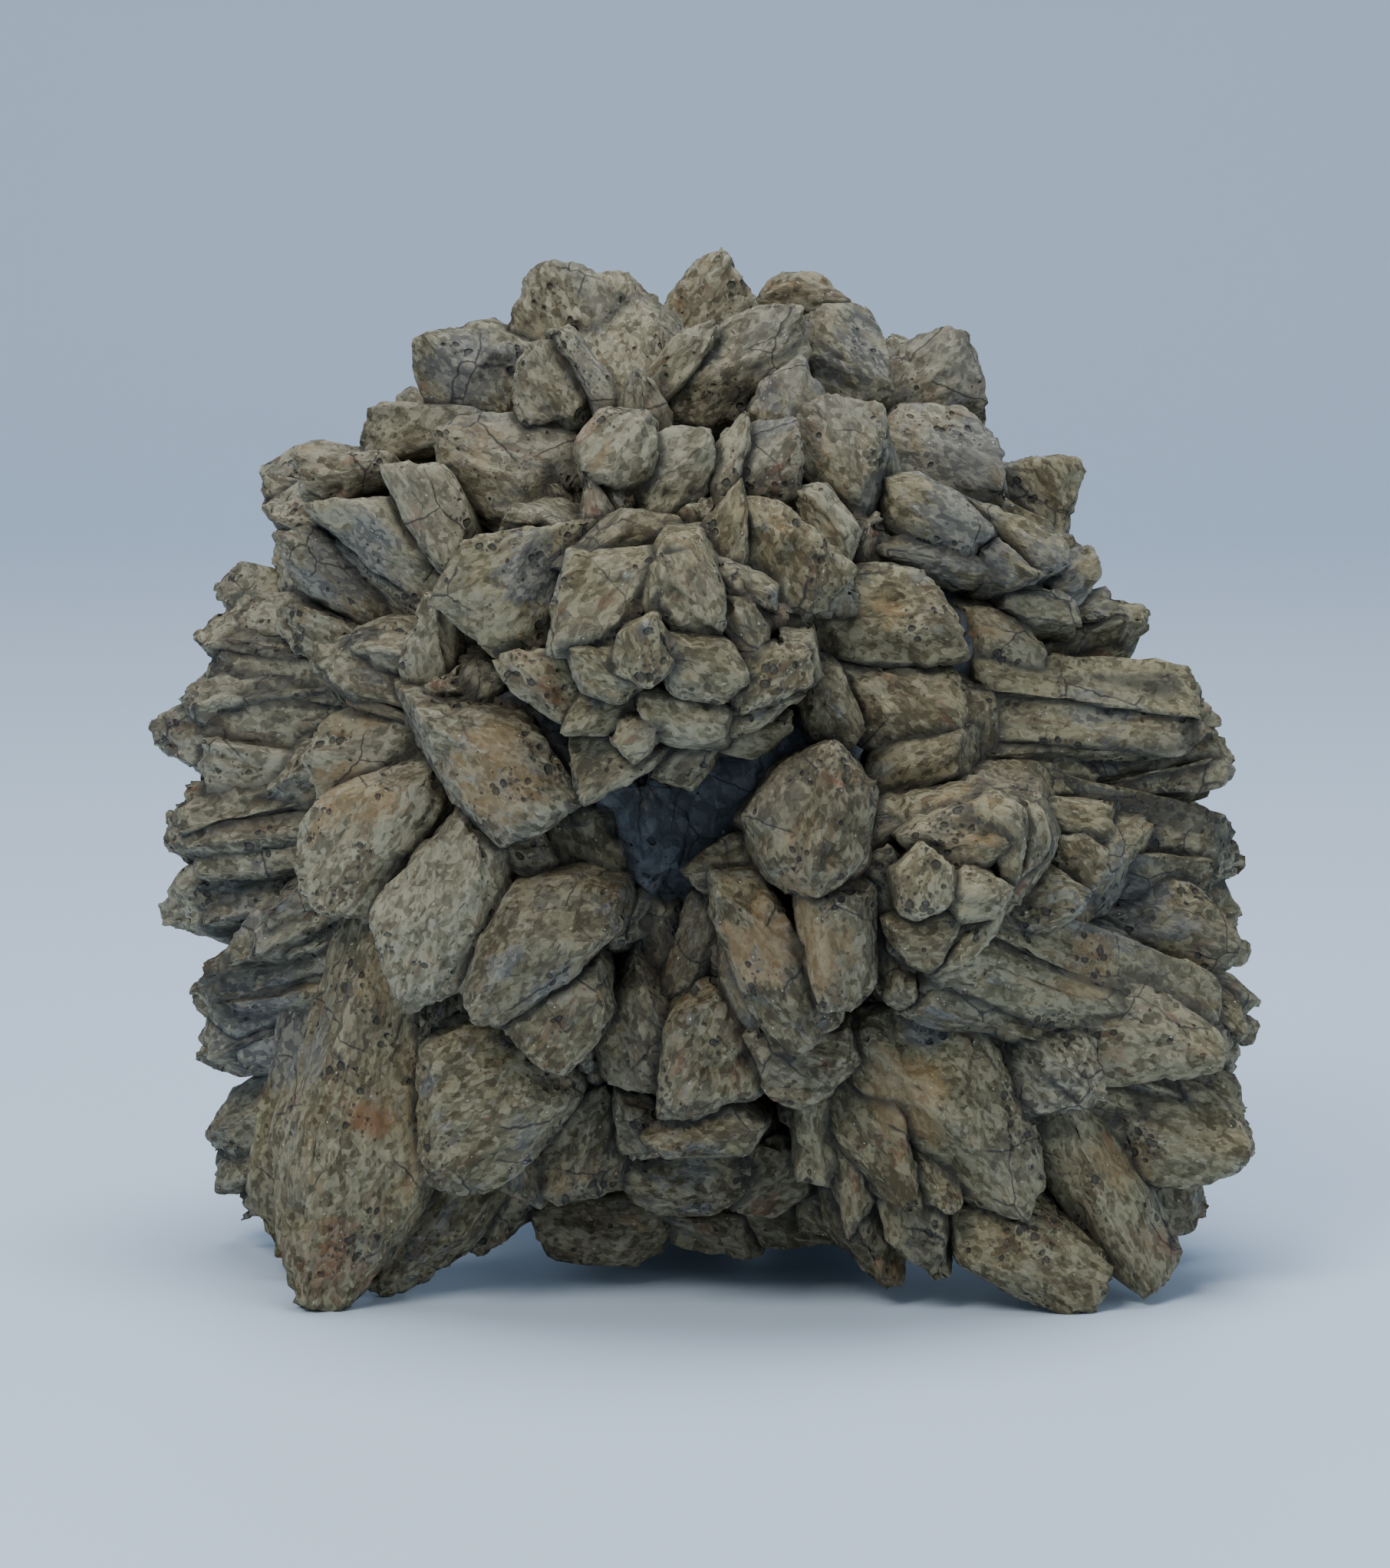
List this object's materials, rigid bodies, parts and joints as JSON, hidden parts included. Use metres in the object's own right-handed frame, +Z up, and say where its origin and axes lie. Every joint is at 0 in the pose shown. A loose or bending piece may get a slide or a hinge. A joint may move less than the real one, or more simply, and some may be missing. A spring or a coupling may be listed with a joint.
{
  "type": "pineapple calcite crystal cluster",
  "caption": "Ball of blunt, blade-like stone crystals grown out from one centre, standing on its lowest crystal tips.",
  "frame": {"origin": "on the resting surface, under the middle of the cluster's box", "axes": "+Z up, the face with the dark hollow looks towards -Y, +X to its right"},
  "size_m": [0.1454, 0.1274, 0.1301],
  "materials": {
    "calcite": "matte, weathered"
  },
  "bodies": {
    "root": {"crystal_cluster": "calcite"}
  },
  "joints": []
}
